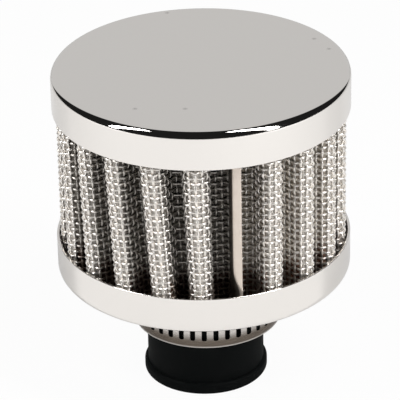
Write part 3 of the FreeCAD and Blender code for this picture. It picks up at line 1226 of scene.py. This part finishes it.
    def clip(self) -> bpy.types.Mesh:
        """Fold the strip that holds the two ends of the outer screen.

        Returns:
            The folded strip.
        """
        half, middle = self.clip_half - self.clip_sheet / 2, self.clip_sheet / 2
        front, back = self.clip_edge - middle, self.clip_edge - self.clip_depth + self.layer_gap
        shape = bmesh.new()
        corners = [(-half, -back), (-half, -front), (half, -front), (half, -back)]
        points = [shape.verts.new((x, y, self.bottom)) for x, y in corners]
        shape.faces.new(points)
        bmesh.ops.bevel(
            shape, geom=points[1:3], offset=self.clip_bend, offset_type="OFFSET", affect="VERTICES",
            segments=self.clip_bend_steps, profile=0.5, material=-1)
        bmesh.ops.delete(shape, geom=shape.faces[:], context="FACES_ONLY")
        open_side = [e for e in shape.edges if all(abs(v.co.y + back) < MERGE for v in e.verts)]
        bmesh.ops.delete(shape, geom=open_side, context="EDGES")
        rise = UP * ((self.top - self.bottom) / self.clip_steps)
        bmesh.ops.spin(
            shape, geom=shape.verts[:] + shape.edges[:], cent=(0, 0, 0), axis=UP, dvec=rise, angle=0,
            steps=self.clip_steps)
        bmesh.ops.rotate(
            shape, cent=(0, 0, 0), matrix=Matrix.Rotation(math.radians(self.seam_angle), 3, "Z"),
            verts=shape.verts[:])
        mesh = with_modifier(
            mesh_of(shape, "seam_strip"), "SOLIDIFY", thickness=self.clip_sheet, offset=0)
        move_points(mesh, self.settle(points_of(mesh)))
        mesh.set_sharp_from_angle(angle=math.radians(self.clip_sharp))
        return mesh


@dataclass
class WormClamp:
    """The slotted band, the housing that grips its lap and the worm screw."""

    band_material: bpy.types.Material
    housing_material: bpy.types.Material
    screw_material: bpy.types.Material
    neck_radius: float = 0.0153
    loop_slack: float = 0.0033
    touch_gap: float = 0.0001
    touch_angle: float = -9.7
    band: float = 0.00065
    lap_gap: float = 0.00008
    band_start: float = 76.0
    lap_start: float = 300.0
    band_end: float = 504.0
    slot_pitch: float = 0.003
    slot_width: float = 0.00135
    slot_margin: float = 0.0021
    slot_round: float = 0.00045
    slot_steps: int = 3
    slot_free: float = 150.0
    plain_cuts: int = 2
    band_break: float = 0.00014
    band_sharp: float = 50.0
    housing_break: float = 0.00025
    screw_break: float = 0.0002
    break_steps: int = 2
    break_angle: float = 35.0
    eased_sharp: float = 40.0
    weld: float = 1e-6
    facet_angle: float = 1.0
    worm_radius: float = 0.0035
    worm_core: float = 0.0027
    thread_length: float = 0.0092
    thread_pitch: float = 0.003
    thread_steps: int = 36
    thread_foot: float = 0.42
    thread_tip: float = 0.16
    thread_sharp: float = 35.0

    def __post_init__(self) -> None:
        """Work out the loop that the band follows."""
        low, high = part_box("clamp_band")
        self.low, self.width = low.z, high.z - low.z
        self.line = self.neck_radius + self.loop_slack + self.band / 2
        opening = math.radians(360 + self.band_start - self.lap_start)
        self.lap_shift = (self.band + self.lap_gap) / (1 - math.cos(opening))
        lap_outside = self.line + self.band / 2 + 2 * self.lap_shift
        self.worm_axis = lap_outside + self.lap_gap + self.worm_radius
        self.loop_back = self.loop_slack - self.touch_gap
        self.seat = Matrix.Rotation(math.radians(self.touch_angle), 4, "Z")

    def build(self) -> None:
        """Make the band, the housing, the screw and its thread."""
        put(self.strip(), self.band_material, Body.FILTER, Slot.CLAMP, "clamp_band")
        housing = self.eased("clamp_housing", "housing_shell", self.housing_break)
        put(housing, self.housing_material, Body.FILTER, Slot.CLAMP, "clamp_housing")
        screw = self.eased("clamp_screw", "screw_body", self.screw_break)
        put(screw, self.screw_material, Body.WORM, Slot.SCREW, "clamp_screw")
        put(self.thread(), self.screw_material, Body.WORM, Slot.SCREW)

    def strip(self) -> bpy.types.Mesh:
        """Cut the slotted strip flat and bend it to its loop.

        Returns:
            The bent strip.
        """
        start, end = (math.radians(a) * self.line for a in (self.band_start, self.band_end))
        slots = []
        place = end - self.slot_pitch
        while place > math.radians(self.slot_free) * self.line:
            slots.append(place)
            place -= self.slot_pitch
        shape = bmesh.new()
        bmesh.ops.create_grid(shape, x_segments=1, y_segments=1, size=0.5)
        flat = Matrix(((end - start, 0, 0, (start + end) / 2), (0, 0, 1, -self.band / 2),
                       (0, self.width, 0, self.low + self.width / 2), (0, 0, 0, 1)))
        bmesh.ops.transform(shape, matrix=flat, verts=shape.verts[:])
        half = self.slot_width / 2
        cuts = [place + side * half for place in slots for side in (-1, 1)]
        plain = int((slots[-1] - start) / self.slot_pitch * self.plain_cuts)
        cuts += [start + (slots[-1] - half - start) * (i + 1) / (plain + 1) for i in range(plain)]
        for cut in cuts:
            self.cut(shape, Vector((cut, 0, 0)), Vector((1, 0, 0)))
        levels = [self.low + self.slot_margin, self.low + self.width - self.slot_margin]
        for level in levels:
            self.cut(shape, Vector((0, 0, level)), UP)
        self.punch(shape, slots, levels)
        thicken(shape, self.band)
        rims = [edge for edge in shape.edges if self.on_rim(edge)]
        bmesh.ops.bevel(
            shape, geom=rims, offset=self.band_break, offset_type="OFFSET", affect="EDGES",
            segments=self.break_steps, profile=0.5, material=-1)
        bmesh.ops.recalc_face_normals(shape, faces=shape.faces[:])
        mesh = mesh_of(shape, "band_strip")
        move_points(mesh, self.wrap(points_of(mesh)))
        mesh.flip_normals()
        mesh.set_sharp_from_angle(angle=math.radians(self.band_sharp))
        return mesh

    @staticmethod
    def cut(shape: bmesh.types.BMesh, point: Vector, normal: Vector) -> None:
        """Score the whole shape along a plane."""
        parts = shape.verts[:] + shape.edges[:] + shape.faces[:]
        bmesh.ops.bisect_plane(shape, geom=parts, dist=MERGE, plane_co=point, plane_no=normal)

    def punch(self, shape: bmesh.types.BMesh, slots: Sequence[float], levels: Sequence[float]) -> None:
        """Take out the slots and round their corners.

        Args:
            shape: The scored strip.
            slots: Places of the slots along it.
            levels: Lower and upper end of every slot.
        """
        half = self.slot_width / 2
        holes = []
        for face in shape.faces:
            centre = face.calc_center_median()
            apart = min(abs(centre.x - place) for place in slots)
            if levels[0] < centre.z < levels[1] and apart < half / 2:
                holes.append(face)
        corners = list({vert for face in holes for vert in face.verts})
        bmesh.ops.bevel(
            shape, geom=corners, offset=self.slot_round, offset_type="OFFSET", affect="VERTICES",
            segments=self.slot_steps, profile=0.5, material=-1)
        middle = sum(levels) / 2
        gone = []
        for face in shape.faces:
            centre = face.calc_center_bounds()
            wide = max(v.co.x for v in face.verts) - min(v.co.x for v in face.verts)
            apart = min(abs(centre.x - place) for place in slots)
            if abs(centre.z - middle) < self.slot_margin and apart < half / 2 and wide > half:
                gone.append(face)
        bmesh.ops.delete(shape, geom=gone, context="FACES")

    def on_rim(self, edge: bmesh.types.BMEdge) -> bool:
        """Look for the edges along the strip's upper and lower rims.

        Args:
            edge: An edge of the flat strip.

        Returns:
            Whether both its ends lie on a rim and on one face of the strip.
        """
        levels = (self.low, self.low + self.width)
        flat = all(min(abs(v.co.z - level) for level in levels) < MERGE for v in edge.verts)
        return flat and abs(edge.verts[0].co.y - edge.verts[1].co.y) < MERGE

    def wrap(self, points: np.ndarray) -> np.ndarray:
        """Bend flat points round the loop and over its lap, and turn the clamp to its seat.

        Args:
            points: Places along the strip, out of it and up.

        Returns:
            The bent points.
        """
        along, out, up = points.T
        angle = along / self.line
        lap = math.radians(self.lap_start)
        lapped = angle > lap
        reach = self.line + out + np.where(lapped, self.lap_shift, 0)
        x = reach * np.cos(angle) - np.where(lapped, self.lap_shift * math.cos(lap), 0)
        y = self.loop_back + reach * np.sin(angle) - np.where(lapped, self.lap_shift * math.sin(lap), 0)
        bent = np.stack([x, y, up], axis=1)
        return bent @ np.array(self.seat.to_3x3()).T

    def eased(self, node: str, name: str, width: float) -> bpy.types.Mesh:
        """Copy a solid and break its sharp edges.

        Args:
            node: The solid's node.
            name: The new mesh's name.
            width: Width of the broken edges.

        Returns:
            The mesh.
        """
        shape = bmesh.new()
        shape.from_mesh(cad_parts[node].data)
        bmesh.ops.remove_doubles(shape, verts=shape.verts[:], dist=self.weld)
        bmesh.ops.dissolve_limit(
            shape, angle_limit=math.radians(self.facet_angle), verts=shape.verts[:], edges=shape.edges[:])
        mesh = with_modifier(
            mesh_of(shape, name), "BEVEL", width=width, segments=self.break_steps, limit_method="ANGLE",
            angle_limit=math.radians(self.break_angle))
        mesh.set_sharp_from_angle(angle=math.radians(self.eased_sharp))
        return mesh

    def thread(self) -> bpy.types.Mesh:
        """Turn the worm's thread round its core.

        Returns:
            The thread.
        """
        crest, root = self.worm_radius - self.lap_gap, self.worm_core - self.lap_gap
        foot, tip = self.thread_foot, self.thread_tip
        turns = self.thread_length / self.thread_pitch - 1
        steps = round(turns * self.thread_steps)
        shape = bmesh.new()
        section = [(-foot, root), (-tip, crest), (tip, crest), (foot, root)]
        points = [shape.verts.new((x * self.thread_pitch, y, 0)) for x, y in section]
        shape.faces.new(points)
        advance = self.thread_pitch * turns / steps
        bmesh.ops.spin(
            shape, geom=shape.verts[:] + shape.edges[:] + shape.faces[:], cent=(0, 0, 0), axis=(1, 0, 0),
            dvec=(advance, 0, 0), angle=2 * math.pi * turns, steps=steps)
        bmesh.ops.translate(shape, vec=(-advance * steps / 2, 0, 0), verts=shape.verts[:])
        bmesh.ops.recalc_face_normals(shape, faces=shape.faces[:])
        middle = Vector((0, self.loop_back + self.worm_axis, self.low + self.width / 2))
        bmesh.ops.transform(shape, matrix=self.seat @ Matrix.Translation(middle), verts=shape.verts[:])
        return mesh_of(shape, "worm_thread", sharp=self.thread_sharp)


@dataclass(frozen=True)
class Lamp:
    """A softbox aimed at the filter."""

    name: str
    direction: Point
    size: Pair
    radiance: float
    distance: float = 0.8

    def build(self, target: Vector) -> None:
        """Hang the softbox.

        Args:
            target: The point that it is aimed at.
        """
        data = bpy.data.lights.new(self.name, "AREA")
        data.shape = "RECTANGLE"
        data.size, data.size_y = self.size
        data.energy = self.radiance * math.pi * self.size[0] * self.size[1]
        lamp = add_object(self.name, data)
        away = Vector(self.direction).normalized()
        lamp.location = target + away * self.distance
        lamp.rotation_mode = "QUATERNION"
        lamp.rotation_quaternion = away.to_track_quat("Z", "Y")


@dataclass
class Studio:
    """Floor, lamps, surroundings and camera."""

    floor_radius: float = 0.75
    floor_segments: int = 128
    floor_glow: float = 0.95
    floor_shine: float = 0.08
    floor_color: Color = (0.80, 0.795, 0.79)
    sweep: Color = (0.585, 0.585, 0.585)
    sweep_elevation: float = 26.5
    sweep_edge: Pair = (0.64, 0.69)
    surround: Color = (0.012, 0.012, 0.012)
    lamps: tuple[Lamp, ...] = (
        Lamp("softbox_left", (-0.730, -0.325, 0.602), (0.12, 0.76), 15.5),
        Lamp("softbox_right", (0.594, -0.447, 0.669), (0.14, 1.0), 15.0))
    eye: Point = (-0.00079, -0.6674, 0.39728)
    elevation: float = 27.55
    roll: float = -1.136
    focal_pixels: float = 2909.5
    photo_side: float = 400.0
    sensor: float = 36.0
    sight: Pair = (0.01, 20.0)

    def build(self) -> None:
        """Set up everything round the filter."""
        low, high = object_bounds()
        for lamp in self.lamps:
            lamp.build((low + high) / 2)
        self.build_floor()
        self.build_world()
        self.build_camera()
        bpy.context.scene.view_settings.view_transform = "Standard"

    def build_floor(self) -> None:
        """Lay a white floor that keeps the filter's shadow."""
        shape = bmesh.new()
        bmesh.ops.create_circle(
            shape, cap_ends=True, segments=self.floor_segments, radius=self.floor_radius)
        floor = add_object("floor", mesh_of(shape, "floor"))
        material, shader = new_material("floor_white")
        shine = shader.ray("Is Glossy Ray").over(shader.ray("Is Transmission Ray"))
        seen = (shader.ray("Is Camera Ray") * self.floor_glow).over(shine * self.floor_shine)
        matt = shader.node("ShaderNodeBsdfDiffuse", None, {"Color": solid(self.floor_color)})
        glow = shader.node("ShaderNodeEmission", None, {"Color": solid(WHITE), "Strength": 1.0})
        surface = shader.node("ShaderNodeMixShader", None, {0: seen, 1: matt, 2: glow})
        shader.node("ShaderNodeOutputMaterial", None, {"Surface": surface})
        floor.data.materials.append(material)
        floor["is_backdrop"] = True

    def build_world(self) -> None:
        """Surround the filter with a dark room and a grey sweep at the back, white to the camera."""
        world = bpy.data.worlds.new("studio")
        bpy.context.scene.world = world
        world.use_nodes = True
        shader = Shader(world.node_tree)
        direction = shader.node("ShaderNodeTexCoord", output="Generated")
        _, depth, height = shader.axes(direction)
        middle = math.radians(self.sweep_elevation)
        facing = depth * math.cos(middle) + height * math.sin(middle)
        studio = shader.mix(shader.ramp(facing, *self.sweep_edge), self.surround, self.sweep)
        color = shader.mix(shader.ray("Is Camera Ray"), studio, WHITE)
        background = shader.node("ShaderNodeBackground", None, {"Color": color, "Strength": 1.0})
        shader.node("ShaderNodeOutputWorld", None, {"Surface": background})

    def build_camera(self) -> None:
        """Stand the camera where the photograph was taken."""
        data = bpy.data.cameras.new("camera")
        data.sensor_width = self.sensor
        data.lens = self.focal_pixels / self.photo_side * self.sensor
        data.clip_start, data.clip_end = self.sight
        camera = add_object("camera", data)
        tilt = Matrix.Rotation(math.radians(90 - self.elevation), 4, "X")
        roll = Matrix.Rotation(math.radians(self.roll), 4, "Z")
        camera.matrix_world = Matrix.Translation(self.eye) @ tilt @ roll
        bpy.context.scene.camera = camera


def dress_potting(material: bpy.types.Material) -> None:
    """Give the two potting beds their finish; their solids are right as they are.

    Args:
        material: The finish.
    """
    for node in ("upper_potting", "lower_potting"):
        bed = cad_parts[node]
        bed.data.materials.clear()
        bed.data.materials.append(material)
        LOG.info("%s: dressed", node)


def main() -> None:
    """Build the filter's pieces in order and set up the studio."""
    logging.basicConfig(level=logging.INFO, format="%(name)s %(message)s")
    inner = GauzeFinish(name="inner_wire", light=(0.5, 0.48, 0.46), dark=(0.1, 0.095, 0.09))
    zinc = PlatedFinish("clamp_zinc", (0.70, 0.69, 0.68), (0.5, 0.5, 0.5), (0.22, 0.15))
    screw = PlatedFinish("screw_zinc", (0.62, 0.60, 0.55), (0.45, 0.43, 0.38), (0.26, 0.15))
    ChromeShells(ChromeFinish().build()).build()
    RubberNeck(RubberFinish().build()).build()
    PleatPack(WireFinish().build(), GauzeFinish().build(), inner.build(), SeamFinish().build()).build()
    WormClamp(BandFinish().build(), zinc.build(), screw.build()).build()
    dress_potting(PottingFinish().build())
    Studio().build()


if __name__ == "__main__":
    main()
